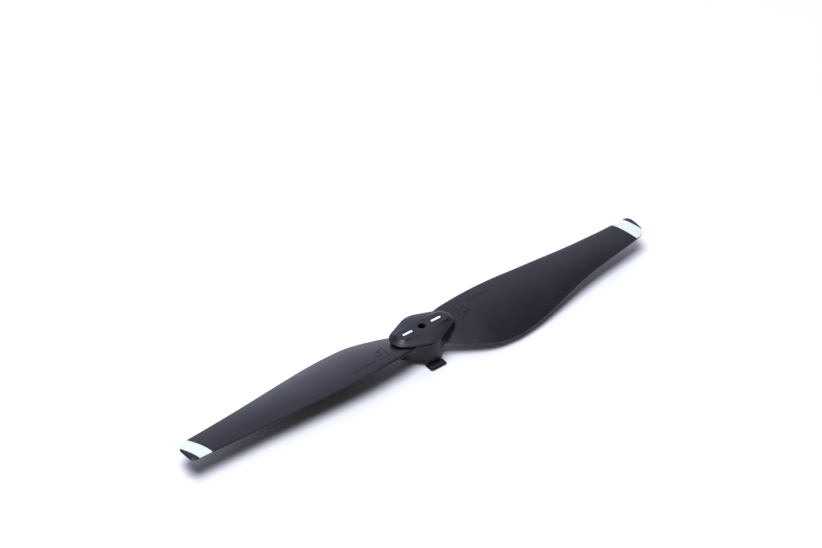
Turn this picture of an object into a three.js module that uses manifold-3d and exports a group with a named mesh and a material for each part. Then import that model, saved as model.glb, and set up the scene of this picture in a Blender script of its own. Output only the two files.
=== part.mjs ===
// Two-blade quick-release propeller for a small camera drone.
// Units are millimetres. +X runs along one blade, +Z up the spin axis, z = 0 at the soles of the feet.
// Seen from above the propeller turns anticlockwise, so the +X blade leads with its +Y edge.

import * as THREE from 'three';
import { LoftGeometry } from 'three/addons/geometries/LoftGeometry.js';
import { mergeVertices } from 'three/addons/utils/BufferGeometryUtils.js';
import Module from 'manifold-3d';

// Overall sizes
const TIP_RADIUS = 67.3;
const TOP_Z = 8.3;
const ARC_STEPS = 48;

// Blade: at each radius, where the leading and trailing edges lie across the blade and above the soles,
// the greatest thickness, and the camber as a share of the chord
const BLADE_STATIONS = [
  { radius: 1.5, lead: [3.1, 6.1], trail: [-3.3, 4.4], thickness: 1.5, camber: 0 },
  { radius: 4, lead: [3.6, 6.3], trail: [-4.4, 4.1], thickness: 1.5, camber: 0 },
  { radius: 8, lead: [4.4, 6.7], trail: [-6.95, 3.4], thickness: 1.6, camber: 0.015 },
  { radius: 14, lead: [4.85, 6.85], trail: [-10, 2.35], thickness: 1.5, camber: 0.04 },
  { radius: 20, lead: [5.05, 6.8], trail: [-10.9, 1.8], thickness: 1.35, camber: 0.05 },
  { radius: 26, lead: [4.9, 6.7], trail: [-10.55, 2.0], thickness: 1.25, camber: 0.05 },
  { radius: 32, lead: [4.55, 6.5], trail: [-9.5, 2.6], thickness: 1.15, camber: 0.05 },
  { radius: 38, lead: [4.2, 6.35], trail: [-8.2, 3.4], thickness: 1.1, camber: 0.05 },
  { radius: 47, lead: [3.65, 6.1], trail: [-6.4, 4.4], thickness: 1.0, camber: 0.05 },
  { radius: 57, lead: [3.3, 6.0], trail: [-5.0, 5.0], thickness: 0.85, camber: 0.035 },
  { radius: TIP_RADIUS, lead: [3.1, 6.15], trail: [-3.8, 5.6], thickness: 0.7, camber: 0.015 },
];
const TRAILING_EDGE = 0.35;
const LEAD_CORNER = 1.3;
const TRAIL_CORNER = 2.8;
const TIP_TAPER = 0.25;
const BLADE_ROWS = 48;
const SECTION_STEPS = 14;

// Hub outlines: a middle circle and an end circle at each lobe, wrapped by straight sides.
// The moulding's foot outline is turned a little, so its lobes lie under the blades' leading edges.
const RIM = { middle: 5.5, end: 3.4, reach: 5.35 };
const PLATEAU = { middle: 2.0, end: 1.7, reach: 5.3 };
const SHELL_TOP = { middle: 5.3, end: 3.1, reach: 5.2 };
const SHELL_FOOT = { middle: 4.85, end: 1.3, reach: 5.6 };
const LOBE_TURN = THREE.MathUtils.degToRad(4);
const SCREW_TURN = THREE.MathUtils.radToDeg(LOBE_TURN);

// Heights of the hub moulding
const SHELL_FOOT_Z = 2.3;
const SEAT_Z = 6.65;
const CAVITY_RADIUS = 4.1;
const CAVITY_TOP_Z = 4.45;
const CENTRE_BORE = 1.85;
const POCKET_FLOOR_Z = 4.95;
const POCKET_RADIUS = 1.7;
const EAR_RECESS_RADIUS = 1.55;
const EAR_RECESS_TOP_Z = 3.95;

// Legs at the front and back of the hub. Each is notched at its lower end, where a bayonet foot comes out:
// a stem inside the leg, a neck through the notch, and a stepped foot outside it.
const LEG = { halfWidth: 2.3, inner: 4.1, outer: 5.2, bottom: 0.6 };
const NOTCH = { halfWidth: 1.75, top: 1.15 };
const STEM = { halfWidth: 1.5, inner: 3.0, outer: 3.6 };
const NECK = { halfWidth: 1.5, inner: 3.0, outer: 5.6 };
const FOOT = { halfWidth: 1.95, inner: 5.4, outer: 6.3 };
const SOLE = { halfWidth: 2.3, inner: 4.4, outer: 6.75 };
const NECK_TOP_Z = 0.75;
const FOOT_TOP_Z = 0.9;
const SOLE_TOP_Z = 0.35;

// Cap
const CAP_UNDER_Z = 6.95;
const RIM_TOP_Z = 7.65;
const SLOPE_CROWN = 0.08;
const BROW = { drop: 0.05, reach: 0.18 };
const CAP_HOLE = { radius: 0.95, hollowRadius: 1.6, hollowTop: 7.5 };
const BOSS = { radius: 1.4, bottom: 5.25, pilotRadius: 0.8, pilotTop: 7.45 };

// Lock base
const PLATE = { radius: 3.8, bottom: 2.5, top: 3.55, hole: 1.8 };
const EAR = { radius: 1.3, bottom: 3.0, hole: 0.85 };

// Centre bush
const BUSH = { bore: 0.95, outer: 1.55, flange: 2.6, bottom: 2.5, flangeBottom: 3.75, flangeTop: 4.25, top: 6.4 };

// Screws: one in each lobe, driven from below
const SCREW_X = 4.4;
const SCREW = { headRadius: 1.1, headBottom: 2.2, headTop: 2.8, shankRadius: 0.65, tip: 7.2 };
const DRIVE = { length: 1.4, width: 0.32, depth: 0.35 };

// Index marks: two bars let into the cap
const MARK = { x: 4.17, halfLength: 1.4, radius: 0.29, bottom: 8.05, top: 8.32, gap: 0.1, recess: 7.95 };

const wasm = await Module();
wasm.setup();

function solid(geometry) {
  const bare = new THREE.BufferGeometry();
  bare.setAttribute('position', geometry.attributes.position);
  bare.setIndex(geometry.index);
  const merged = mergeVertices(bare, 1e-5);
  return new wasm.Manifold(new wasm.Mesh({
    numProp: 3,
    vertProperties: merged.attributes.position.array,
    triVerts: Uint32Array.from(merged.index.array),
  }));
}

function geometryOf(manifold) {
  const mesh = manifold.getMesh();
  const geometry = new THREE.BufferGeometry();
  geometry.setAttribute('position', new THREE.BufferAttribute(mesh.vertProperties, 3));
  geometry.setIndex(new THREE.BufferAttribute(mesh.triVerts, 1));
  geometry.computeVertexNormals();
  return geometry;
}

function cylinder(radius, bottom, top, x = 0, y = 0, steps = ARC_STEPS) {
  const geometry = new THREE.CylinderGeometry(radius, radius, top - bottom, steps);
  geometry.rotateX(Math.PI / 2);
  geometry.translate(x, y, (bottom + top) / 2);
  return solid(geometry);
}

function block(width, depth, bottom, top, x = 0, y = 0) {
  const geometry = new THREE.BoxGeometry(width, depth, top - bottom);
  geometry.translate(x, y, (bottom + top) / 2);
  return solid(geometry);
}

// A cylinder on the axis of the screw in the lobe on one side, 1 or -1
function screwCylinder(radius, bottom, top, side) {
  return cylinder(radius, bottom, top, side * SCREW_X).rotate([0, 0, SCREW_TURN]);
}

function prism(shape, bottom, top) {
  const geometry = new THREE.ExtrudeGeometry(shape, { depth: top - bottom, bevelEnabled: false, curveSegments: 12 });
  geometry.translate(0, 0, bottom);
  return solid(geometry);
}

// Distance from the axis to a lobed outline, along a ray at the given angle
function lobedRadius({ middle, end, reach }, angle) {
  const across = Math.abs(Math.sin(angle));
  const along = Math.abs(Math.cos(angle));
  const tangent = Math.acos((middle - end) / reach);
  const ray = Math.atan2(across, along);
  if (ray >= tangent) return middle;
  const endRay = Math.atan2(end * Math.sin(tangent), reach + end * Math.cos(tangent));
  if (ray >= endRay) return middle / Math.cos(tangent - ray);
  return reach * along + Math.sqrt(end * end - (reach * across) ** 2);
}

function lobedRing(outline, z, grow = 0, turn = 0) {
  const ring = [];
  for (let i = 0; i < ARC_STEPS * 2; i++) {
    const angle = (i / (ARC_STEPS * 2)) * Math.PI * 2;
    const radius = lobedRadius(outline, angle - turn) + grow;
    ring.push(new THREE.Vector3(radius * Math.cos(angle), radius * Math.sin(angle), z));
  }
  return ring;
}

function mixRings(a, b, t) {
  return a.map((point, i) => point.clone().lerp(b[i], t));
}

function loft(rings) {
  return solid(new LoftGeometry(rings, { capStart: true, capEnd: true }));
}

// Blade ------------------------------------------------------------------------------------------

const leadCurve = new THREE.CatmullRomCurve3(
  BLADE_STATIONS.map((s) => new THREE.Vector3(s.radius, ...s.lead)), false, 'catmullrom');
const trailCurve = new THREE.CatmullRomCurve3(
  BLADE_STATIONS.map((s) => new THREE.Vector3(s.radius, ...s.trail)), false, 'catmullrom');
const bodyCurve = new THREE.CatmullRomCurve3(
  BLADE_STATIONS.map((s) => new THREE.Vector3(s.radius, s.thickness, s.camber)), false, 'catmullrom');

// How far a rounded tip corner has cut in at a radius
function cornerCut(radius, corner) {
  const past = Math.max(0, radius - (TIP_RADIUS - corner));
  return corner - Math.sqrt(Math.max(0, corner * corner - past * past));
}

// Half the section's thickness, as a share of its greatest thickness, at a share of the chord
function thicknessShare(s) {
  return 1.4845 * Math.sqrt(s) - 0.63 * s - 1.758 * s ** 2 + 1.4215 * s ** 3 - 0.5075 * s ** 4;
}

function bladeSection(t) {
  const lead = leadCurve.getPoint(t);
  const trail = trailCurve.getPoint(t);
  const radius = lead.x;
  const chordLine = trail.clone().sub(lead);
  const chord = chordLine.length();
  const leadIn = cornerCut(radius, LEAD_CORNER) / chord;
  const trailIn = cornerCut(radius, TRAIL_CORNER) / chord;
  const taper = 1 - 0.5 * Math.max(0, radius - (TIP_RADIUS - TIP_TAPER)) / TIP_TAPER;
  const body = bodyCurve.getPoint(t);
  const thickness = body.y * taper;
  const up = new THREE.Vector3(0, chordLine.z, -chordLine.y).normalize();
  const point = (s, side) => {
    const along = leadIn + s * (1 - leadIn - trailIn);
    const camber = 4 * body.z * chord * along * (1 - along);
    const half = thickness * thicknessShare(s) + s * TRAILING_EDGE * taper / 2;
    return lead.clone().addScaledVector(chordLine, along).addScaledVector(up, camber + side * half);
  };
  const spaced = (i) => (1 - Math.cos((i / SECTION_STEPS) * Math.PI)) / 2;
  const section = [];
  for (let i = 0; i <= SECTION_STEPS; i++) section.push(point(spaced(i), 1));
  for (let i = SECTION_STEPS; i >= 1; i--) section.push(point(spaced(i), -1));
  return section;
}

function blade() {
  const rows = [];
  for (let i = 0; i <= BLADE_ROWS; i++) rows.push(bladeSection(Math.sin((i / BLADE_ROWS) * Math.PI / 2)));
  return loft(rows);
}

// Hub and blade moulding ---------------------------------------------------------------------------

function legShape() {
  const edge = Math.asin(LEG.halfWidth / LEG.outer);
  const innerEdge = Math.asin(LEG.halfWidth / LEG.inner);
  const shape = new THREE.Shape();
  shape.absarc(0, 0, LEG.outer, -Math.PI / 2 - edge, -Math.PI / 2 + edge, false);
  shape.absarc(0, 0, LEG.inner, -Math.PI / 2 + innerEdge, -Math.PI / 2 - innerEdge, true);
  shape.closePath();
  return shape;
}

function bladeMoulding() {
  const oneBlade = blade();
  const leg = prism(legShape(), LEG.bottom, SEAT_Z - 0.5);
  let body = loft([lobedRing(SHELL_FOOT, SHELL_FOOT_Z, 0, LOBE_TURN), lobedRing(SHELL_TOP, SEAT_Z)]);
  body = body.add(oneBlade).add(oneBlade.rotate([0, 0, 180]));
  body = body.add(leg).add(leg.rotate([0, 0, 180]));
  body = body.subtract(block(NOTCH.halfWidth * 2, TIP_RADIUS, 0, NOTCH.top));
  body = body.subtract(loft([lobedRing(RIM, SEAT_Z, 0.25), lobedRing(RIM, TOP_Z + 1, 0.25)]));
  body = body.subtract(cylinder(CAVITY_RADIUS, 0, CAVITY_TOP_Z));
  body = body.subtract(cylinder(CENTRE_BORE, 0, TOP_Z));
  body = body.subtract(block(SCREW_X * 2, EAR_RECESS_RADIUS * 2, 0, EAR_RECESS_TOP_Z).rotate([0, 0, SCREW_TURN]));
  for (const side of [-1, 1]) {
    body = body.subtract(screwCylinder(EAR_RECESS_RADIUS, 0, EAR_RECESS_TOP_Z, side));
    body = body.subtract(screwCylinder(POCKET_RADIUS, POCKET_FLOOR_Z, TOP_Z, side));
    body = body.subtract(screwCylinder(SCREW.shankRadius + 0.3, 0, TOP_Z, side));
  }
  return body;
}

// Cap ------------------------------------------------------------------------------------------------

function markShape(x, grow) {
  const radius = MARK.radius + grow;
  const straight = MARK.halfLength - MARK.radius;
  const shape = new THREE.Shape();
  shape.absarc(x + straight, 0, radius, -Math.PI / 2, Math.PI / 2, false);
  shape.absarc(x - straight, 0, radius, Math.PI / 2, Math.PI * 1.5, false);
  shape.closePath();
  return shape;
}

function hubCap() {
  const shoulder = lobedRing(RIM, RIM_TOP_Z, -0.25);
  const brow = lobedRing(PLATEAU, TOP_Z - BROW.drop, BROW.reach);
  const slope = [0, 0.25, 0.5, 0.75, 1].map((t) => {
    const ring = mixRings(shoulder, brow, t);
    ring.forEach((point) => { point.z += SLOPE_CROWN * Math.sin(Math.PI * t); });
    return ring;
  });
  let body = loft([
    lobedRing(RIM, CAP_UNDER_Z, -0.12),
    lobedRing(RIM, CAP_UNDER_Z + 0.12),
    lobedRing(RIM, RIM_TOP_Z - 0.35),
    lobedRing(RIM, RIM_TOP_Z - 0.12, -0.06),
    ...slope,
    lobedRing(PLATEAU, TOP_Z),
  ]);
  for (const side of [-1, 1]) {
    body = body.add(screwCylinder(BOSS.radius, BOSS.bottom, CAP_UNDER_Z + 0.3, side));
    body = body.subtract(screwCylinder(BOSS.pilotRadius, 0, BOSS.pilotTop, side));
    body = body.subtract(prism(markShape(side * MARK.x, MARK.gap), MARK.recess, TOP_Z + 1));
  }
  body = body.subtract(cylinder(CAP_HOLE.hollowRadius, 0, CAP_HOLE.hollowTop));
  return body.subtract(cylinder(CAP_HOLE.radius, 0, TOP_Z + 1));
}

// Lock base ------------------------------------------------------------------------------------------

function bar({ halfWidth, inner, outer }, bottom, top, side) {
  return block(halfWidth * 2, outer - inner, bottom, top, 0, side * (inner + outer) / 2);
}

function lockBase() {
  let body = cylinder(PLATE.radius, PLATE.bottom, PLATE.top);
  body = body.add(block(SCREW_X * 2, EAR.radius * 2, EAR.bottom, PLATE.top).rotate([0, 0, SCREW_TURN]));
  for (const side of [-1, 1]) {
    body = body.add(screwCylinder(EAR.radius, EAR.bottom, PLATE.top, side));
    body = body.subtract(screwCylinder(EAR.hole, 0, TOP_Z, side));
    body = body.subtract(screwCylinder(SCREW.headRadius + 0.25, 0, EAR.bottom, side));
    body = body.add(bar(STEM, 0, PLATE.bottom + 0.3, side));
    body = body.add(bar(NECK, 0, NECK_TOP_Z, side));
    body = body.add(bar(FOOT, 0, FOOT_TOP_Z, side));
    body = body.add(bar(SOLE, 0, SOLE_TOP_Z, side));
  }
  return body.subtract(cylinder(PLATE.hole, 0, TOP_Z));
}

// Small pieces -----------------------------------------------------------------------------------------

function centreBush() {
  const tube = cylinder(BUSH.outer, BUSH.bottom, BUSH.top);
  const flange = cylinder(BUSH.flange, BUSH.flangeBottom, BUSH.flangeTop);
  return tube.add(flange).subtract(cylinder(BUSH.bore, 0, TOP_Z));
}

function screw() {
  const profile = [
    [0, SCREW.headBottom],
    [SCREW.headRadius * 0.75, SCREW.headBottom],
    [SCREW.headRadius, SCREW.headBottom + 0.2],
    [SCREW.headRadius, SCREW.headTop],
    [SCREW.shankRadius, SCREW.headTop],
    [SCREW.shankRadius, SCREW.tip - 0.5],
    [SCREW.shankRadius * 0.4, SCREW.tip],
    [0, SCREW.tip],
  ];
  const lathe = new THREE.LatheGeometry(profile.map(([r, z]) => new THREE.Vector2(r, z)), 24);
  lathe.rotateX(Math.PI / 2);
  let body = solid(lathe);
  for (const turn of [0, 90]) {
    const slot = block(DRIVE.length, DRIVE.width, SCREW.headBottom - 1, SCREW.headBottom + DRIVE.depth);
    body = body.subtract(slot.rotate([0, 0, turn]));
  }
  return body;
}

// Assembly ---------------------------------------------------------------------------------------------

const charcoal = new THREE.MeshStandardMaterial({ color: 0x3a3b44, roughness: 0.55, metalness: 0 });
const black = new THREE.MeshStandardMaterial({ color: 0x17171a, roughness: 0.35, metalness: 0 });
const white = new THREE.MeshStandardMaterial({ color: 0xf4f5f5, roughness: 0.5, metalness: 0 });
const brass = new THREE.MeshStandardMaterial({ color: 0x8a7a50, roughness: 0.35, metalness: 1 });
const steel = new THREE.MeshStandardMaterial({ color: 0x55565a, roughness: 0.35, metalness: 1 });

const group = new THREE.Group();

function addPiece(name, manifold, material, angle = null) {
  const mesh = new THREE.Mesh(geometryOf(manifold), material);
  mesh.name = name;
  if (angle !== null) {
    mesh.position.set(SCREW_X * Math.cos(angle), SCREW_X * Math.sin(angle), 0);
    mesh.rotation.z = angle;
  }
  group.add(mesh);
}

addPiece('blade_moulding', bladeMoulding(), charcoal);
addPiece('hub_cap', hubCap(), charcoal);
addPiece('lock_base', lockBase(), black);
addPiece('centre_bush', centreBush(), brass);
addPiece('screw_1', screw(), steel, LOBE_TURN);
addPiece('screw_2', screw(), steel, LOBE_TURN + Math.PI);
addPiece('index_mark_1', prism(markShape(MARK.x, 0), MARK.bottom, MARK.top), white);
addPiece('index_mark_2', prism(markShape(-MARK.x, 0), MARK.bottom, MARK.top), white);

export default group;
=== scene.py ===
"""Looks of a two-blade quick-release drone propeller, built around its CAD frame.

Sizes are in millimetres until a mesh is made, and an object is in metres. +X runs along one blade,
+Z up the spin axis, and z = 0 is at the soles of the feet.
"""
import math

import bmesh
import bpy
import numpy as np
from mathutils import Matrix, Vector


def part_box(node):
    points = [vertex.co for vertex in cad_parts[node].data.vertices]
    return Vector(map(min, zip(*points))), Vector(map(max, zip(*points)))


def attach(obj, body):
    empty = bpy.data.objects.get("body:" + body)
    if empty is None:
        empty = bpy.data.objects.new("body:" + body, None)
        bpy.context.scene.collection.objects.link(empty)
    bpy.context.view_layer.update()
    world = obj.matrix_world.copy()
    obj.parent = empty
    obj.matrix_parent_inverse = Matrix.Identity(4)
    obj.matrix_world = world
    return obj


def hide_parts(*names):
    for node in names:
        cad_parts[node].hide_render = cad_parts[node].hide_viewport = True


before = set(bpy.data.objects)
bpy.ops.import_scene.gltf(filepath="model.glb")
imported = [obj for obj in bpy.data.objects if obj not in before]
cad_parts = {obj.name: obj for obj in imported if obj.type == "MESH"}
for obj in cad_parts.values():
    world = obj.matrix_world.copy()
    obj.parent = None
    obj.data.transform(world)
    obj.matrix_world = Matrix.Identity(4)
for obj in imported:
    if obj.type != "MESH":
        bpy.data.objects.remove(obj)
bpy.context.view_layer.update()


# Blades, hub and legs ---------------------------------------------------------------------------
# One moulding of glass-filled nylon: two twisted blades, the hub's wall, which is hollow below and
# has a seat for the cap on top, and a notched leg at the front and at the back. The blades run into
# the wall with a small fillet. The surface is spark-textured and matte.

MM = 0.001
TIP_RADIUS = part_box("blade_moulding")[1].x / MM
TOP_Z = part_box("hub_cap")[1].z / MM

# radius | leading edge y, z | trailing edge y, z | greatest thickness | camber as a share of the chord
BLADE_STATIONS = np.array([
    [1.5, 3.1, 6.1, -3.3, 4.4, 1.5, 0],
    [4, 3.6, 6.3, -4.4, 4.1, 1.5, 0],
    [8, 4.4, 6.7, -6.95, 3.4, 1.6, 0.015],
    [14, 4.85, 6.85, -10, 2.35, 1.5, 0.04],
    [20, 5.05, 6.8, -10.9, 1.8, 1.35, 0.05],
    [26, 4.9, 6.7, -10.55, 2.0, 1.25, 0.05],
    [32, 4.55, 6.5, -9.5, 2.6, 1.15, 0.05],
    [38, 4.2, 6.35, -8.2, 3.4, 1.1, 0.05],
    [47, 3.65, 6.1, -6.4, 4.4, 1.0, 0.05],
    [57, 3.3, 6.0, -5.0, 5.0, 0.85, 0.035],
    [TIP_RADIUS, 3.1, 6.15, -3.8, 5.6, 0.7, 0.015],
])
STATION_STEPS = 4000
# The section's half thickness: factors of the square root of the share, then of its powers 1 to 4
SECTION = (1.4845, -0.63, -1.758, 1.4215, -0.5075)
SECTION_STEPS = 96
TRAILING_EDGE = 0.35
# The tip's rounded corners, and how its thickness falls away over the last bit, to a share of itself
LEAD_CORNER = 1.3
TRAIL_CORNER = 2.8
TIP_ROUNDING = 0.25
TIP_EDGE = 0.15
# Rings of points lie close together at the root and at the tip, and wide apart between
ROOT_LENGTH = 11
ROOT_PITCH = 0.12
BLADE_PITCH = 0.9
TIP_LENGTH = 3
TIP_STEPS = 28
# The fillet at the hub's wall, the most of it that is used, and what stays clear below the cap's seat
ROOT_FILLET = 1.2
FILLET_REACH = 0.97
FILLET_GAP = 0.1

# Lobed outlines: radius of the middle circle, radius of the end circles, and their distance
RIM = (5.5, 3.4, 5.35)
SHELL_TOP = (5.3, 3.1, 5.2)
SHELL_FOOT = (4.85, 1.3, 5.6)
LOBE_TURN = math.radians(4)
OUTLINE_STEPS = 480
NEARLY_SQUARE = 1.5

SHELL_FOOT_Z = 2.3
SEAT_Z = 6.65
CAVITY_RADIUS = 4.1
CAVITY_TOP_Z = 4.45
CENTRE_BORE = 1.85
POCKET_FLOOR_Z = 4.95
POCKET_RADIUS = 1.7
EAR_RECESS_RADIUS = 1.55
EAR_RECESS_TOP_Z = 3.95
SCREW_X = 4.4
SCREW_CLEARANCE = 0.95
LEG_HALF_WIDTH = 2.3
LEG_INNER = 4.1
LEG_OUTER = 5.2
LEG_BOTTOM = 0.6
LEG_TOP = SEAT_Z - 0.5
LEG_ROUND = 0.12
LEG_STEPS = 25
LEG_SWELL = 5.23
LEG_BLEND = math.radians(24)
WALL_ROUND = 0.14
WALL_STEPS = 22
WALL_ROUND_STEPS = 7
RIM_CLEARANCE = 0.25
NOTCH_HALF_WIDTH = 1.75
NOTCH_REACH = 9
NOTCH_TOP = 1.15
ABOVE = TOP_Z + 1
BELOW = -1


def smooth_line(stations, share):
    """Points on the smooth line through the stations, at shares of the way along it."""
    ends = np.vstack([2 * stations[0] - stations[1], stations, 2 * stations[-1] - stations[-2]])
    place = np.clip(share, 0, 1) * (len(stations) - 1)
    first = np.minimum(place.astype(int), len(stations) - 2)
    w = (place - first)[:, None]
    before, a, b, after = (ends[first + k] for k in range(4))
    leave = (b - before) / 2
    arrive = (after - a) / 2
    square = 3 * (b - a) - 2 * leave - arrive
    cube = 2 * (a - b) + leave + arrive
    return a + leave * w + square * w**2 + cube * w**3


FINE_STATIONS = smooth_line(BLADE_STATIONS, np.linspace(0, 1, STATION_STEPS + 1))


def corner_cut(radius, corner):
    """How far a rounded tip corner has cut into the blade's outline at a radius."""
    past = np.clip(radius - (TIP_RADIUS - corner), 0, corner)
    return corner - np.sqrt(corner**2 - past**2)


def blade_skin(radius, share, side, proud=0.0):
    """Points on the upper (1) or lower (-1) skin, at shares of the chord from the leading edge."""
    lead_y, lead_z, trail_y, trail_z, thickness, camber = (
        np.interp(radius, FINE_STATIONS[:, 0], FINE_STATIONS[:, k]) for k in range(1, 7)
    )
    run = trail_y - lead_y
    drop = trail_z - lead_z
    chord = np.hypot(run, drop)
    lead_cut = corner_cut(radius, LEAD_CORNER) / chord
    trail_cut = corner_cut(radius, TRAIL_CORNER) / chord
    past = np.clip((radius - (TIP_RADIUS - TIP_ROUNDING)) / TIP_ROUNDING, 0, 1)
    taper = TIP_EDGE + (1 - TIP_EDGE) * np.sqrt(1 - past**2)
    along = lead_cut + share * (1 - lead_cut - trail_cut)
    bow = 4 * camber * chord * along * (1 - along)
    half = thickness * (
        SECTION[0] * np.sqrt(share)
        + SECTION[1] * share + SECTION[2] * share**2 + SECTION[3] * share**3 + SECTION[4] * share**4
    )
    off = bow + side * (taper * (half + share * TRAILING_EDGE / 2) + proud)
    y = lead_y + run * along + off * drop / chord
    z = lead_z + drop * along - off * run / chord
    return np.stack([radius + 0 * along, y, z], -1)


def lobed_radius(outline, angle):
    """Distance from the axis to a lobed outline, which straight sides wrap, along rays at the angles."""
    middle, end, reach = outline
    across = np.abs(np.sin(angle))
    along = np.abs(np.cos(angle))
    tangent = math.acos((middle - end) / reach)
    end_ray = math.atan2(end * math.sin(tangent), reach + end * math.cos(tangent))
    ray = np.arctan2(across, along)
    flat = middle / np.cos(np.minimum(np.abs(tangent - ray), NEARLY_SQUARE))
    tip = reach * along + np.sqrt(np.maximum(end**2 - (reach * across) ** 2, 0))
    return np.where(ray >= tangent, middle, np.where(ray >= end_ray, flat, tip))


def wall_radius(angle, z):
    """Distance from the axis to the hub's wall, which leans, and swells to flow into the legs."""
    up = np.clip((z - SHELL_FOOT_Z) / (SEAT_Z - SHELL_FOOT_Z), 0, 1)
    foot = lobed_radius(SHELL_FOOT, angle - LOBE_TURN)
    wall = foot + (lobed_radius(SHELL_TOP, angle) - foot) * up
    off_middle = np.arctan2(np.abs(np.cos(angle)), np.abs(np.sin(angle)))
    off_leg = off_middle - math.asin(LEG_HALF_WIDTH / LEG_OUTER)
    near = np.clip(1 - off_leg / LEG_BLEND, 0, 1)
    return wall + np.maximum(LEG_SWELL - wall, 0) * near**2 * (3 - 2 * near)


def with_root_fillet(skin, side):
    """Lifts a blade's skin into a fillet where it nears the hub's wall."""
    angle = np.arctan2(skin[..., 1], skin[..., 0])
    radius = np.hypot(skin[..., 0], skin[..., 1])
    step = 0.01
    wall = wall_radius(angle, skin[..., 2])
    lean = (wall_radius(angle + step, skin[..., 2]) - wall) / step / wall
    away = (radius - wall) / np.sqrt(1 + lean**2)
    near = np.clip(ROOT_FILLET - away, 0, ROOT_FILLET * FILLET_REACH)
    lift = ROOT_FILLET - np.sqrt(ROOT_FILLET**2 - near**2)
    filleted = skin.copy()
    room = np.maximum(SEAT_Z - FILLET_GAP - skin[..., 2], 0) if side > 0 else ROOT_FILLET
    filleted[..., 2] += side * np.minimum(lift, room)
    return filleted


def tidy_mesh(name, build):
    """A mesh object in metres from a bmesh in millimetres, with its faces turned outwards."""
    bmesh.ops.recalc_face_normals(build, faces=build.faces)
    bmesh.ops.scale(build, vec=(MM, MM, MM), verts=build.verts)
    mesh = bpy.data.meshes.new(name)
    build.to_mesh(mesh)
    build.free()
    piece = bpy.data.objects.new(name, mesh)
    bpy.context.scene.collection.objects.link(piece)
    return piece


def loft(name, rings):
    """A closed skin over rings of equal length, with a flat face at each end."""
    build = bmesh.new()
    rows = [[build.verts.new(point) for point in ring] for ring in rings]
    for low, high in zip(rows, rows[1:]):
        for a, b, c, d in zip(low, low[1:] + low[:1], high[1:] + high[:1], high):
            build.faces.new((a, b, c, d))
    build.faces.new(reversed(rows[0]))
    build.faces.new(rows[-1])
    return tidy_mesh(name, build)


def lathe_ring(radius, z, x=0.0, y=0.0, steps=96):
    """A circle of points at a height."""
    angle = np.arange(steps) / steps * math.tau
    return np.stack([x + radius * np.cos(angle), y + radius * np.sin(angle), z + 0 * angle], -1)


def turned(name, profile, x=0.0, y=0.0):
    """A turned solid from a profile of (radius, height) pairs."""
    return loft(name, [lathe_ring(radius, z, x, y) for radius, z in profile])


def round_bar(radius, bottom, top, x=0.0, y=0.0):
    """A plain upright bar."""
    return turned("tool", [(radius, bottom), (radius, top)], x, y)


def block(half_length, half_width, bottom, top, turn=0.0):
    """A block round the axis, turned about it."""
    corners = [(-1, -1), (1, -1), (1, 1), (-1, 1)]
    c = math.cos(turn)
    s = math.sin(turn)
    flat = [(half_length * x, half_width * y) for x, y in corners]
    return loft("tool", [[(x * c - y * s, x * s + y * c, z) for x, y in flat] for z in (bottom, top)])


def settle(piece, kind, **settings):
    """Applies one modifier to a piece and leaves it a plain mesh."""
    modifier = piece.modifiers.new(kind.title(), kind)
    for name, value in settings.items():
        setattr(modifier, name, value)
    bpy.context.view_layer.update()
    shaped = piece.evaluated_get(bpy.context.evaluated_depsgraph_get())
    finished = bpy.data.meshes.new_from_object(shaped)
    piece.modifiers.clear()
    piece.data = finished
    return piece


def combine(piece, operation, *tools):
    """Joins tools to a piece or cuts them from it, and takes the tools away."""
    for tool in tools:
        settle(piece, "BOOLEAN", operation=operation, solver="MANIFOLD", object=tool)
        bpy.data.objects.remove(tool)
    return piece


def rounded(piece, width):
    """Rounds the sharp edges of a piece."""
    sharp = math.radians(35)
    return settle(piece, "BEVEL", width=width * MM, segments=3, limit_method="ANGLE", angle_limit=sharp)


def screw_place(side):
    """The x and y of a screw."""
    return side * SCREW_X * math.cos(LOBE_TURN), side * SCREW_X * math.sin(LOBE_TURN)


def blade(turn):
    """One blade, from inside the hub's wall to its tip, as a closed skin."""
    radii = np.concatenate([
        np.arange(BLADE_STATIONS[0, 0], ROOT_LENGTH, ROOT_PITCH),
        np.arange(ROOT_LENGTH, TIP_RADIUS - TIP_LENGTH, BLADE_PITCH),
        TIP_RADIUS - TIP_LENGTH * (1 - np.sin(np.linspace(0, 1, TIP_STEPS) * math.pi / 2)),
    ])
    share = (1 - np.cos(np.linspace(0, math.pi, SECTION_STEPS + 1))) / 2
    upper = with_root_fillet(blade_skin(radii[:, None], share[None, :], 1), 1)
    lower = with_root_fillet(blade_skin(radii[:, None], share[None, :], -1), -1)
    rings = np.concatenate([upper, lower[:, :0:-1]], axis=1)
    c = math.cos(turn)
    s = math.sin(turn)
    return loft("blade", rings @ np.array([[c, s, 0], [-s, c, 0], [0, 0, 1]]))


angles = np.arange(OUTLINE_STEPS) / OUTLINE_STEPS * math.tau


def flat_ring(radius, z):
    """A closed level line from its distance to the axis along the rays."""
    return np.stack([radius * np.cos(angles), radius * np.sin(angles), z + 0 * angles], -1)


def leg(middle):
    """A leg of the hub: a piece of a ring, round the direction of the given angle."""
    outer = np.linspace(-1, 1, LEG_STEPS) * math.asin(LEG_HALF_WIDTH / LEG_OUTER) + middle
    inner = np.linspace(1, -1, LEG_STEPS) * math.asin(LEG_HALF_WIDTH / LEG_INNER) + middle
    outline = [(LEG_OUTER * math.cos(a), LEG_OUTER * math.sin(a)) for a in outer]
    outline += [(LEG_INNER * math.cos(a), LEG_INNER * math.sin(a)) for a in inner]
    bar = loft("leg", [[(x, y, z) for x, y in outline] for z in (LEG_BOTTOM, LEG_TOP)])
    return rounded(bar, LEG_ROUND)


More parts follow.
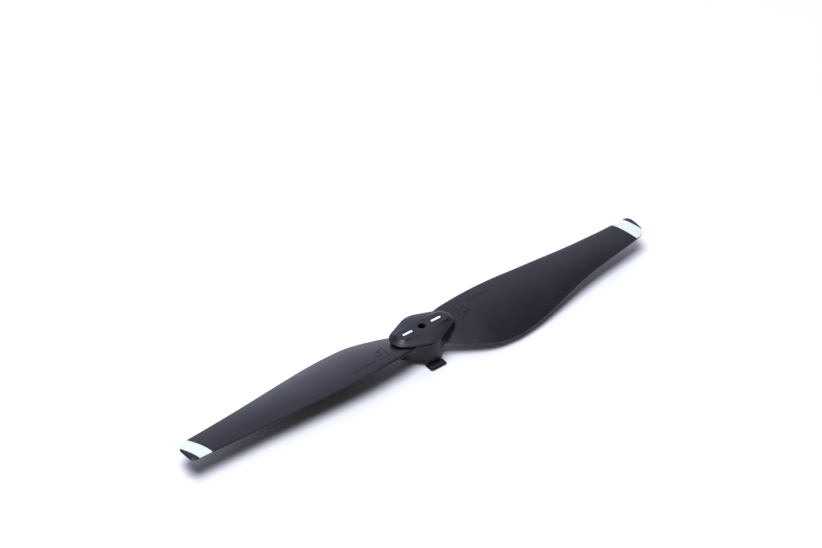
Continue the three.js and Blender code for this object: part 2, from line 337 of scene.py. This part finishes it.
rim_clear = [flat_ring(lobed_radius(RIM, angles) + RIM_CLEARANCE, z) for z in (SEAT_Z, ABOVE)]
wall_levels = np.linspace(SHELL_FOOT_Z, SEAT_Z - WALL_ROUND, WALL_STEPS)[:-1]
wall_rings = [flat_ring(wall_radius(angles, z), z) for z in wall_levels]
for a in np.linspace(0, math.pi / 2, WALL_ROUND_STEPS):
    z = SEAT_Z - WALL_ROUND * (1 - math.sin(a))
    wall_rings.append(flat_ring(wall_radius(angles, z) - WALL_ROUND * (1 - math.cos(a)), z))
moulding = loft("blade_and_hub_moulding", wall_rings)
combine(moulding, "UNION", blade(0), blade(math.pi), leg(-math.pi / 2), leg(math.pi / 2))
combine(
    moulding, "DIFFERENCE",
    block(NOTCH_HALF_WIDTH, NOTCH_REACH, BELOW, NOTCH_TOP),
    loft("tool", rim_clear),
    round_bar(CAVITY_RADIUS, BELOW, CAVITY_TOP_Z),
    round_bar(CENTRE_BORE, BELOW, ABOVE),
    block(SCREW_X, EAR_RECESS_RADIUS, BELOW, EAR_RECESS_TOP_Z, LOBE_TURN),
)
for side in (-1, 1):
    x, y = screw_place(side)
    combine(
        moulding, "DIFFERENCE",
        round_bar(EAR_RECESS_RADIUS, BELOW, EAR_RECESS_TOP_Z, x, y),
        round_bar(POCKET_RADIUS, POCKET_FLOOR_Z, ABOVE, x, y),
        round_bar(SCREW_CLEARANCE, BELOW, ABOVE, x, y),
    )


def named(sockets, name):
    """The socket in use with a name, or at a place in the row."""
    if isinstance(name, int):
        return sockets[name]
    return next(socket for socket in sockets if socket.name == name and socket.enabled)


class Wire:
    """An output of a node. Arithmetic on wires adds the maths nodes that work it out."""

    def __init__(self, sheet, node, output=0):
        self.sheet = sheet
        self.node = node
        self.socket = named(node.outputs, output) if node.outputs else None

    def __getitem__(self, output):
        return Wire(self.sheet, self.node, output)

    def __add__(self, other):
        return self.sheet.maths("ADD", self, other)

    def __sub__(self, other):
        return self.sheet.maths("SUBTRACT", self, other)

    def __rsub__(self, other):
        return self.sheet.maths("SUBTRACT", other, self)

    def __mul__(self, other):
        return self.sheet.maths("MULTIPLY", self, other)

    def __truediv__(self, other):
        return self.sheet.maths("DIVIDE", self, other)

    def __rtruediv__(self, other):
        return self.sheet.maths("DIVIDE", other, self)

    __radd__ = __add__
    __rmul__ = __mul__


class Sheet:
    """A node tree that is written as expressions."""

    def __init__(self, tree):
        self.tree = tree

    def node(self, kind, settings=None, inputs=None):
        """Adds a node: its settings first, then the values or wires of its inputs."""
        made = self.tree.nodes.new(kind)
        for name, value in (settings or {}).items():
            setattr(made, name, value)
        for name, value in (inputs or {}).items():
            if isinstance(value, Wire):
                self.tree.links.new(value.socket, named(made.inputs, name))
            else:
                named(made.inputs, name).default_value = value
        return Wire(self, made)

    def maths(self, operation, *values):
        """A node of plain arithmetic on numbers."""
        return self.node("ShaderNodeMath", {"operation": operation}, dict(enumerate(values)))

    def point(self, **parts):
        """A vector from its X, Y and Z."""
        return self.node("ShaderNodeCombineXYZ", None, parts)

    def noise(self, place, scale, detail, roughness):
        """A soft random pattern, from 0 to 1."""
        return self.node("ShaderNodeTexNoise", None, {
            "Vector": place,
            "Scale": scale,
            "Detail": detail,
            "Roughness": roughness,
        })

    def mix(self, factor, a, b):
        """A blend of two colours."""
        mixed = self.node("ShaderNodeMix", {"data_type": "RGBA"}, {"Factor": factor, "A": a, "B": b})
        return mixed["Result"]


# Patches of tone about 7 mm across lie under the grain, and specks finer than the grain lie on it
CLOUD_SCALE = 140
SPECK_SCALE = 2.6
COARSE_SHARE = 0.7
CLOUD_GLOSS = 0.18
GRAIN_GLOSS = 0.12


def finish_of(
    name, colour, light, roughness,
    metal=0.0, shine=0.5, grain=0.00025, grain_depth=0.000012, stretch=(1, 1, 1),
):
    """A moulded, painted or metal finish: mottled colour, uneven gloss and a fine grain."""
    material = bpy.data.materials.new(name)
    material.use_nodes = True
    material.node_tree.nodes.clear()
    sheet = Sheet(material.node_tree)
    place = sheet.node("ShaderNodeTexCoord")["Object"]
    drawn = sheet.node("ShaderNodeMapping", None, {"Vector": place, "Scale": stretch})
    cloud = sheet.noise(drawn, CLOUD_SCALE, detail=4, roughness=0.6)
    fine = sheet.noise(drawn, 1 / grain, detail=2, roughness=0.6)
    speck = sheet.noise(place, SPECK_SCALE / grain, detail=1, roughness=0.5)
    tone = sheet.mix(cloud * COARSE_SHARE + fine * (1 - COARSE_SHARE), colour, light)
    gloss = roughness + (cloud - 0.5) * CLOUD_GLOSS + (fine - 0.5) * GRAIN_GLOSS
    bump = sheet.node("ShaderNodeBump", None, {
        "Strength": 1.0,
        "Distance": grain_depth,
        "Height": fine * COARSE_SHARE + speck * (1 - COARSE_SHARE),
    })
    surface = sheet.node("ShaderNodeBsdfPrincipled", None, {
        "Base Color": tone,
        "Roughness": gloss,
        "Metallic": metal,
        "Specular IOR Level": shine,
        "Normal": bump,
    })
    sheet.node("ShaderNodeOutputMaterial", None, {"Surface": surface})
    return material


charcoal = finish_of(
    "charcoal_nylon", (0.0062, 0.0066, 0.0102, 1), (0.0084, 0.009, 0.0136, 1), 0.37, shine=0.25,
)


def dress(piece, material, slot, *nodes, crease=32):
    """Shades a piece smoothly between creases, gives it its material and puts it on the propeller."""
    piece.data.materials.clear()
    piece.data.materials.append(material)
    faces = piece.data.polygons
    faces.foreach_set("use_smooth", [True] * len(faces))
    faces.foreach_set("material_index", [0] * len(faces))
    piece.data.set_sharp_from_angle(angle=math.radians(crease))
    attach(piece, "root")
    if nodes:
        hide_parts(*nodes)
    return piece


dress(moulding, charcoal, "charcoal_plastic", "blade_moulding")


# Raised marks -----------------------------------------------------------------------------------
# Fine raised lines left by engraving in the mould, the same on both blades: a tick and a ring by the
# root, and a row of small rings inside the leading edge.

LINE_RADIUS = 0.16
LINE_SIDES = 10
LINE_SINK = 0.06
LINE_PITCH = 0.2
SKIN_STEPS = 400
TICK = [(11.55, 2.5), (10.5, -1.95), (12.5, -0.8)]
RING = {"x": 13.1, "y": 0.2, "radius": 0.85, "steps": 32}
SMALL_RING = {"y": 2.1, "radius": 0.34, "steps": 16}
SMALL_RING_PLACES = np.linspace(15.7, 20.9, 6)


def on_blade(points):
    """Lays flat points on a blade's upper skin."""
    share = np.linspace(0, 1, SKIN_STEPS)
    laid = []
    for x, y in points:
        skin = blade_skin(np.array([x])[:, None], share[None, :], 1)[0]
        laid.append((x, y, np.interp(-y, -skin[:, 1], skin[:, 2]) - LINE_SINK))
    return laid


def ring_line(x, y, radius, steps):
    """A flat ring as a line of points."""
    turn = np.linspace(0, math.tau, steps + 1)
    return [(x + radius * math.cos(a), y + radius * math.sin(a)) for a in turn]


def between(points):
    """The same line with points close enough together to follow the blade."""
    dense = []
    for (x0, y0), (x1, y1) in zip(points, points[1:]):
        steps = max(1, round(math.hypot(x1 - x0, y1 - y0) / LINE_PITCH))
        dense += [(x0 + (x1 - x0) * k / steps, y0 + (y1 - y0) * k / steps) for k in range(steps)]
    return dense + [points[-1]]


lines = bpy.data.curves.new("mark_lines", "CURVE")
lines.dimensions = "3D"
small_rings = [ring_line(x=x, **SMALL_RING) for x in SMALL_RING_PLACES]
for points in (TICK, ring_line(**RING), *small_rings):
    laid = on_blade(between(points))
    for flip in (1, -1):
        spline = lines.splines.new("POLY")
        spline.points.add(len(laid) - 1)
        for point, (x, y, z) in zip(spline.points, laid):
            point.co = (x * flip * MM, y * flip * MM, z * MM, 1)
mark_paths = bpy.data.objects.new("mark_paths", lines)
bpy.context.scene.collection.objects.link(mark_paths)


def geometry_sheet(name, inputs):
    """A geometry tree with named inputs for its sizes."""
    tree = bpy.data.node_groups.new(name, "GeometryNodeTree")
    tree.interface.new_socket("Geometry", in_out="INPUT", socket_type="NodeSocketGeometry")
    for label, value in inputs.items():
        socket = tree.interface.new_socket(label, in_out="INPUT", socket_type="NodeSocketFloat")
        socket.default_value = value
    tree.interface.new_socket("Geometry", in_out="OUTPUT", socket_type="NodeSocketGeometry")
    sheet = Sheet(tree)
    return sheet, sheet.node("NodeGroupInput")


def end_sheet(sheet, shape, material):
    """Ends a geometry tree: real geometry, with its material set."""
    real = sheet.node("GeometryNodeRealizeInstances", None, {"Geometry": shape})
    painted = sheet.node("GeometryNodeSetMaterial", None, {"Geometry": real, "Material": material})
    sheet.node("NodeGroupOutput", None, {"Geometry": painted})
    return sheet.tree


def grown(source, name, tree):
    """Runs a geometry tree on a source object and keeps what it makes as a plain mesh piece."""
    modifier = source.modifiers.new("Nodes", "NODES")
    modifier.node_group = tree
    bpy.context.view_layer.update()
    shaped = source.evaluated_get(bpy.context.evaluated_depsgraph_get())
    mesh = bpy.data.meshes.new_from_object(shaped)
    bpy.data.objects.remove(source)
    piece = bpy.data.objects.new(name, mesh)
    bpy.context.scene.collection.objects.link(piece)
    return piece


sheet, given = geometry_sheet("raised_line", {"Line Radius": LINE_RADIUS * MM})
profile = sheet.node("GeometryNodeCurvePrimitiveCircle", None, {
    "Resolution": LINE_SIDES,
    "Radius": given["Line Radius"],
})
ridge = sheet.node("GeometryNodeCurveToMesh", None, {
    "Curve": given["Geometry"],
    "Profile Curve": profile,
    "Fill Caps": True,
})
raised_marks = grown(mark_paths, "raised_marks", end_sheet(sheet, ridge, charcoal))
dress(raised_marks, charcoal, "charcoal_plastic", crease=60)


# Tip bands --------------------------------------------------------------------------------------
# A band of pale paint across the upper face of each tip, pad-printed after moulding. It lies at a
# slant to the blade and leaves the leading corner bare.

# radius at the leading edge | radius at the trailing edge
BAND_INNER = (61.95, 63.87)
BAND_OUTER = (65.4, 67.3)
BAND_FROM = 0.004
BAND_TO = 0.996
BAND_TIP_GAP = 0.02
BAND_COLUMNS = 90
BAND_ROWS = 40
BAND_ROUNDS = 40
PAINT = 0.02
BAND_SINK = -0.12


def band_edge(ends, share):
    """Radii along a straight edge of the band, found by closing in on the line."""
    radius = np.full_like(share, ends[0])
    for _ in range(BAND_ROUNDS):
        chord = np.interp(radius, FINE_STATIONS[:, 0], FINE_STATIONS[:, 1] - FINE_STATIONS[:, 3])
        lead_cut = corner_cut(radius, LEAD_CORNER) / chord
        trail_cut = corner_cut(radius, TRAIL_CORNER) / chord
        along = lead_cut + share * (1 - lead_cut - trail_cut)
        aim = np.minimum(ends[0] + (ends[1] - ends[0]) * along, TIP_RADIUS - BAND_TIP_GAP)
        radius = (radius + aim) / 2
    return radius


def band_grid(proud):
    """A grid of points over the band, at a height over the blade's skin."""
    share = np.linspace(BAND_FROM, BAND_TO, BAND_COLUMNS)
    inner = band_edge(BAND_INNER, share)
    outer = band_edge(BAND_OUTER, share)
    across = np.sin(np.linspace(0, 1, BAND_ROWS) * math.pi / 2)[:, None]
    return blade_skin(inner + (outer - inner) * across, share[None, :], 1, proud)


def slab(name, top, bottom):
    """A closed thin body between two grids of points."""
    build = bmesh.new()
    rows, columns = top.shape[:2]
    upper = [[build.verts.new(point) for point in row] for row in top]
    lower = [[build.verts.new(point) for point in row] for row in bottom]
    for grid in (upper, lower):
        for r in range(rows - 1):
            for c in range(columns - 1):
                build.faces.new((grid[r][c], grid[r][c + 1], grid[r + 1][c + 1], grid[r + 1][c]))
    edge = [(r, 0) for r in range(rows)]
    edge += [(rows - 1, c) for c in range(1, columns)]
    edge += [(r, columns - 1) for r in range(rows - 2, -1, -1)]
    edge += [(0, c) for c in range(columns - 2, 0, -1)]
    for (r0, c0), (r1, c1) in zip(edge, edge[1:] + edge[:1]):
        build.faces.new((upper[r0][c0], upper[r1][c1], lower[r1][c1], lower[r0][c0]))
    return tidy_mesh(name, build)


band_paint = finish_of("band_paint", (0.5, 0.55, 0.5, 1), (0.53, 0.58, 0.53, 1), 0.42, grain=0.0006)
for number, flip in ((1, 1), (2, -1)):
    turn = np.array([flip, flip, 1])
    band = slab(f"tip_band_{number}", band_grid(PAINT) * turn, band_grid(BAND_SINK) * turn)
    dress(band, band_paint, "white_plastic")


# Hub cap ----------------------------------------------------------------------------------------
# A separate lobed moulding that closes the top of the hub. A flat ridge runs between the lobes, and
# its sides fall to a rounded rim. Two bosses under it take the screws, and the motor's pin shows
# through the centre hole.

PLATEAU = (2.0, 1.7, 5.3)
CAP_UNDER_Z = 6.95
UNDER_ROUND = 0.12
RIM_SHOULDER_Z = 7.53
RIM_ROUND = 0.13
RIM_ROLL = math.radians(75.6)
SIDE_CROWN = 0.1
END_HOLLOW = 0.05
# How far the ridge's soft edge reaches out, and how far it drops
SIDE_BROW = (0.18, 0.02)
END_BROW = (0.25, 0.06)
LOBE_SHARPNESS = 6
UNDER_STEPS = 5
RIM_STEPS = 8
SLOPE_STEPS = 22
RIDGE_STEPS = 9
CAP_HOLE_RADIUS = 0.95
HOLE_CHAMFER = 0.03
CAP_HOLLOW_RADIUS = 1.6
CAP_HOLLOW_TOP = 7.5
BOSS_RADIUS = 1.4
BOSS_BOTTOM = 5.25
BOSS_TOP = CAP_UNDER_Z + 0.3
PILOT_RADIUS = 0.8
PILOT_TOP = 7.45
MARK_X = 4.17
MARK_HALF = 1.4
MARK_RADIUS = 0.29
MARK_GAP = 0.02
MARK_RECESS_Z = 7.95
MARK_BOTTOM = 8.05
MARK_TOP = 8.32


def cap_ring(outline, z, grow):
    """A level line round the cap, grown outwards from a lobed outline."""
    return flat_ring(lobed_radius(outline, angles) + grow, z)


def cap_rings():
    """The cap's rings, from its underside over the rim and the sloping sides to the flat ridge."""
    under = [
        cap_ring(RIM, CAP_UNDER_Z + UNDER_ROUND * (1 - math.cos(a)), -UNDER_ROUND * (1 - math.sin(a)))
        for a in np.linspace(0, math.pi / 2, UNDER_STEPS)
    ]
    rim = [
        cap_ring(RIM, RIM_SHOULDER_Z - RIM_ROUND * (1 - math.sin(a)), -RIM_ROUND * (1 - math.cos(a)))
        for a in np.linspace(0, RIM_ROLL, RIM_STEPS)
    ]
    start = rim[-1]
    lobe_end = np.abs(np.cos(angles)) ** LOBE_SHARPNESS
    reach = SIDE_BROW[0] + (END_BROW[0] - SIDE_BROW[0]) * lobe_end
    drop = SIDE_BROW[1] + (END_BROW[1] - SIDE_BROW[1]) * lobe_end
    brow = cap_ring(PLATEAU, TOP_Z - drop, reach)
    slope = []
    for t in np.linspace(0, 1, SLOPE_STEPS)[1:]:
        ring = start + (brow - start) * t
        ring[:, 2] += math.sin(math.pi * t) * (SIDE_CROWN - (SIDE_CROWN + END_HOLLOW) * lobe_end)
        slope.append(ring)
    ridge = [
        cap_ring(PLATEAU, TOP_Z - drop * (1 - t) ** 2, reach * (1 - t))
        for t in np.linspace(0, 1, RIDGE_STEPS)[1:]
    ]
    return under + rim + slope + ridge


def bar_outline(x, grow):
    """The outline of a bar with round ends."""
    radius = MARK_RADIUS + grow
    straight = MARK_HALF - MARK_RADIUS
    turn = np.linspace(-math.pi / 2, math.pi / 2, 25)
    right = [(x + straight + radius * math.cos(a), radius * math.sin(a)) for a in turn]
    left = [(x - straight - radius * math.cos(a), -radius * math.sin(a)) for a in turn]
    return right + left


def bar_prism(name, x, levels):
    """A bar with round ends, from (height, growth) pairs."""
    return loft(name, [[(px, py, z) for px, py in bar_outline(x, grow)] for z, grow in levels])


cap = loft("hub_cap_moulding", cap_rings())
for side in (-1, 1):
    x, y = screw_place(side)
    combine(cap, "UNION", round_bar(BOSS_RADIUS, BOSS_BOTTOM, BOSS_TOP, x, y))
    combine(
        cap, "DIFFERENCE",
        round_bar(PILOT_RADIUS, BELOW, PILOT_TOP, x, y),
        bar_prism("tool", side * MARK_X, [(MARK_RECESS_Z, MARK_GAP), (ABOVE, MARK_GAP)]),
    )
hole = [
    (CAP_HOLE_RADIUS, BELOW),
    (CAP_HOLE_RADIUS, TOP_Z - HOLE_CHAMFER),
    (CAP_HOLE_RADIUS + HOLE_CHAMFER * 2, ABOVE),
]
combine(cap, "DIFFERENCE", turned("tool", hole), round_bar(CAP_HOLLOW_RADIUS, BELOW, CAP_HOLLOW_TOP))
dress(cap, charcoal, "charcoal_plastic", "hub_cap")


# Index marks ------------------------------------------------------------------------------------
# Two white bars let into the top of the cap, which tell this propeller from its mirror twin.

# height | growth of the outline, which shrinks in two steps to round the top edge
MARK_LEVELS = [(MARK_BOTTOM, 0), (MARK_TOP - 0.05, 0), (MARK_TOP - 0.015, -0.015), (MARK_TOP, -0.05)]

bar_white = finish_of("bar_white", (0.72, 0.73, 0.74, 1), (0.77, 0.78, 0.79, 1), 0.45, grain=0.0004)
for number, side in ((1, 1), (2, -1)):
    bar = bar_prism(f"index_bar_{number}", side * MARK_X, MARK_LEVELS)
    dress(bar, bar_white, "white_plastic", f"index_mark_{number}")


# Lock base --------------------------------------------------------------------------------------
# A black moulding inside the hub: a round plate with two screw ears, and at the front and the back
# a stem that goes down inside the leg and comes out through its notch as a stepped foot.

PLATE_RADIUS = 3.8
PLATE_BOTTOM = 2.5
PLATE_TOP = 3.55
PLATE_HOLE = 1.8
EAR_RADIUS = 1.3
EAR_BOTTOM = 3.0
EAR_HOLE = 0.85
HEAD_CLEAR = 1.35
# half width | inner end | outer end, measured from the axis
STEM = (1.5, 3.0, 3.6)
NECK = (1.5, 3.0, 5.6)
FOOT = (1.95, 5.4, 6.3)
SOLE = (2.3, 4.4, 6.75)
STEM_TOP_Z = PLATE_BOTTOM + 0.3
NECK_TOP_Z = 0.75
FOOT_TOP_Z = 0.9
SOLE_TOP_Z = 0.35
FOOT_CORNER = 0.3
SOLE_CORNER = 0.5
LOCK_ROUND = 0.09


def foot_bar(sizes, bottom, top, side, corner=0.0):
    """A bar across the leg's direction, whose outer corners are rounded."""
    half_width, inner, outer = sizes
    quarter = np.linspace(0, math.pi / 2, 9 if corner else 1)
    outline = [(half_width, inner)]
    outline += [
        (half_width - corner * (1 - math.cos(a)), outer - corner * (1 - math.sin(a)))
        for a in quarter
    ]
    outline += [(-x, y) for x, y in reversed(outline)]
    return loft("tool", [[(x, side * y, z) for x, y in outline] for z in (bottom, top)])


lock = turned("lock_base_moulding", [(PLATE_RADIUS, PLATE_BOTTOM), (PLATE_RADIUS, PLATE_TOP)])
combine(lock, "UNION", block(SCREW_X, EAR_RADIUS, EAR_BOTTOM, PLATE_TOP, LOBE_TURN))
for side in (-1, 1):
    x, y = screw_place(side)
    combine(lock, "UNION", round_bar(EAR_RADIUS, EAR_BOTTOM, PLATE_TOP, x, y))
    combine(
        lock, "DIFFERENCE",
        round_bar(EAR_HOLE, BELOW, ABOVE, x, y),
        round_bar(HEAD_CLEAR, BELOW, EAR_BOTTOM, x, y),
    )
    combine(
        lock, "UNION",
        foot_bar(STEM, 0, STEM_TOP_Z, side),
        foot_bar(NECK, 0, NECK_TOP_Z, side),
        foot_bar(FOOT, 0, FOOT_TOP_Z, side, FOOT_CORNER),
        foot_bar(SOLE, 0, SOLE_TOP_Z, side, SOLE_CORNER),
    )
combine(lock, "DIFFERENCE", round_bar(PLATE_HOLE, BELOW, ABOVE))
rounded(lock, LOCK_ROUND)
black = finish_of(
    "black_nylon", (0.005, 0.005, 0.0056, 1), (0.009, 0.009, 0.01, 1), 0.24,
    shine=0.6, grain_depth=0.000003,
)
dress(lock, black, "black_plastic", "lock_base")


# Centre bush ------------------------------------------------------------------------------------
# A turned brass sleeve pressed into the hub, with a flange that the plate clamps. It guides the
# motor's pin.

# radius | height, round the sleeve's section
BUSH_PROFILE = [
    (0.95, 2.5), (1.45, 2.5), (1.55, 2.6), (1.55, 3.75),
    (2.55, 3.75), (2.6, 3.8), (2.6, 4.2), (2.55, 4.25),
    (1.55, 4.25), (1.55, 6.3), (1.45, 6.4), (1.05, 6.4), (0.95, 6.3),
]


def turned_tube(name, profile):
    """A turned body whose profile closes on itself round a bore."""
    build = bmesh.new()
    rows = [[build.verts.new(point) for point in lathe_ring(radius, z)] for radius, z in profile]
    for low, high in zip(rows, rows[1:] + rows[:1]):
        for a, b, c, d in zip(low, low[1:] + low[:1], high[1:] + high[:1], high):
            build.faces.new((a, b, c, d))
    return tidy_mesh(name, build)


brass = finish_of(
    "turned_brass", (0.3, 0.23, 0.11, 1), (0.38, 0.3, 0.16, 1), 0.3,
    metal=1.0, stretch=(1, 1, 14),
)
dress(turned_tube("turned_bush", BUSH_PROFILE), brass, "brass", "centre_bush")


# Screws -----------------------------------------------------------------------------------------
# Two blackened steel screws, one in each lobe, driven from below through the plate's ears into the
# cap's bosses. Each has a pan head with a cross recess and a rolled thread.

steel = finish_of("blackened_steel", (0.1, 0.1, 0.105, 1), (0.16, 0.16, 0.165, 1), 0.34, metal=1.0)

sheet, given = geometry_sheet("screws", {
    "Head Radius": 1.1 * MM,
    "Head Height": 0.6 * MM,
    "Head Bottom": 2.2 * MM,
    "Recess Length": 1.4 * MM,
    "Recess Width": 0.32 * MM,
    "Recess Height": 0.7 * MM,
    "Shank Radius": 0.6 * MM,
    "Shank Length": 4.4 * MM,
    "Shank Sink": 0.05 * MM,
    "Thread Depth": 0.07 * MM,
    "Thread Pitch": 0.4 * MM,
    "Reach": SCREW_X * MM,
    "Turn": LOBE_TURN,
})


def raised_to(shape, middle):
    """A shape moved up the axis."""
    return sheet.node("GeometryNodeTransform", None, {
        "Geometry": shape["Mesh"],
        "Translation": sheet.point(Z=middle),
    })


def cylinder_at(radius, depth, middle, steps, rows):
    """A cylinder on the axis, with its middle at a height."""
    shape = sheet.node("GeometryNodeMeshCylinder", None, {
        "Vertices": steps,
        "Side Segments": rows,
        "Fill Segments": 1,
        "Radius": radius,
        "Depth": depth,
    })
    return raised_to(shape, middle)


head_middle = given["Head Bottom"] + given["Head Height"] * 0.5
shank_bottom = given["Head Bottom"] + given["Head Height"] - given["Shank Sink"]
shank_middle = shank_bottom + given["Shank Length"] * 0.5
recessed = cylinder_at(given["Head Radius"], given["Head Height"], head_middle, steps=64, rows=1)
shank = cylinder_at(given["Shank Radius"], given["Shank Length"], shank_middle, steps=48, rows=110)
here = sheet.node("ShaderNodeSeparateXYZ", None, {"Vector": sheet.node("GeometryNodeInputPosition")})
winding = sheet.maths("ARCTAN2", here["Y"], here["X"]) + here["Z"] / given["Thread Pitch"] * math.tau
cut = 1 + sheet.maths("SINE", winding) * (given["Thread Depth"] / given["Shank Radius"])
threaded = sheet.node("GeometryNodeSetPosition", None, {
    "Geometry": shank,
    "Position": sheet.point(X=here["X"] * cut, Y=here["Y"] * cut, Z=here["Z"]),
})
for length, width in (("Recess Length", "Recess Width"), ("Recess Width", "Recess Length")):
    size = sheet.point(X=given[length], Y=given[width], Z=given["Recess Height"])
    arm = raised_to(sheet.node("GeometryNodeMeshCube", None, {"Size": size}), given["Head Bottom"])
    recessed = sheet.node("GeometryNodeMeshBoolean", {"operation": "DIFFERENCE", "solver": "MANIFOLD"}, {
        "Mesh 1": recessed,
        "Mesh 2": arm,
    })
one_screw = sheet.node("GeometryNodeJoinGeometry")
for part in (recessed, threaded):
    sheet.tree.links.new(part.socket, one_screw.node.inputs[0])
x_end = given["Reach"] * sheet.maths("COSINE", given["Turn"])
y_end = given["Reach"] * sheet.maths("SINE", given["Turn"])
places = sheet.node("GeometryNodeMeshLine", {"mode": "END_POINTS"}, {
    "Count": 2,
    "Start Location": sheet.point(X=x_end, Y=y_end),
    "Offset": sheet.point(X=x_end * -1, Y=y_end * -1),
})
both = sheet.node("GeometryNodeInstanceOnPoints", None, {"Points": places, "Instance": one_screw})
holder = bpy.data.objects.new("screw_holder", bpy.data.meshes.new("screw_holder"))
bpy.context.scene.collection.objects.link(holder)
screws = grown(holder, "lobe_screws", end_sheet(sheet, both, steel))
dress(screws, steel, "steel", "screw_1", "screw_2", crease=50)


# Table, light and camera ------------------------------------------------------------------------
# A white table top in soft studio light: a softbox almost overhead, a little to the front and left,
# a wide one low behind that gives the plastic its sheen, a panel high behind, and a faint cool fill.

TABLE_SIZE = 6.0
CAMERA_ELEVATION = 38.0
CAMERA_AZIMUTH = 231.0
CAMERA_DISTANCE = 0.69634
CAMERA_AIM = (0.0176, 0.02563, -0.0007)
LENS = 126.2
SENSOR_WIDTH = 36.0
NEAREST = 0.01

table_build = bmesh.new()
bmesh.ops.create_grid(table_build, x_segments=4, y_segments=4, size=TABLE_SIZE / 2 / MM)
table = tidy_mesh("table_top", table_build)
table_white = finish_of(
    "table_white", (0.66, 0.66, 0.66, 1), (0.68, 0.68, 0.68, 1), 0.7,
    grain=0.002, grain_depth=0.00001,
)
table.data.materials.append(table_white)


def softbox(name, place, size, power, colour):
    """A rectangular soft light that faces the propeller, in metres and watts."""
    light = bpy.data.lights.new(name, "AREA")
    light.shape = "RECTANGLE"
    light.size, light.size_y = size
    light.energy = power
    light.color = colour
    lamp = bpy.data.objects.new(name, light)
    bpy.context.scene.collection.objects.link(lamp)
    lamp.location = place
    lamp.rotation_euler = (-Vector(place)).to_track_quat("-Z", "Y").to_euler()


softbox("key_softbox", (-0.2, -0.1, 0.89), (0.5, 0.5), 13.6, (0.86, 0.875, 1.0))
softbox("back_softbox", (0.62, 0.74, 0.46), (1.2, 0.9), 4.5, (0.78, 0.8, 1.0))
softbox("ceiling_panel", (0.24, 0.45, 1.2), (1.2, 0.8), 4.6, (0.83, 0.85, 1.0))

world = bpy.data.worlds.new("studio")
world.use_nodes = True
fill = world.node_tree.nodes["Background"].inputs
fill["Color"].default_value = (0.86, 0.87, 1.0, 1)
fill["Strength"].default_value = 0.12
bpy.context.scene.world = world
bpy.context.scene.view_settings.view_transform = "Standard"

camera = bpy.data.objects.new("camera", bpy.data.cameras.new("camera"))
camera.data.lens = LENS
camera.data.sensor_width = SENSOR_WIDTH
camera.data.clip_start = NEAREST
elevation = math.radians(CAMERA_ELEVATION)
azimuth = math.radians(CAMERA_AZIMUTH)
towards = Vector((
    math.cos(elevation) * math.cos(azimuth),
    math.cos(elevation) * math.sin(azimuth),
    math.sin(elevation),
))
camera.location = Vector(CAMERA_AIM) + towards * CAMERA_DISTANCE
camera.rotation_euler = (-towards).to_track_quat("-Z", "Y").to_euler()
bpy.context.scene.collection.objects.link(camera)
bpy.context.scene.camera = camera
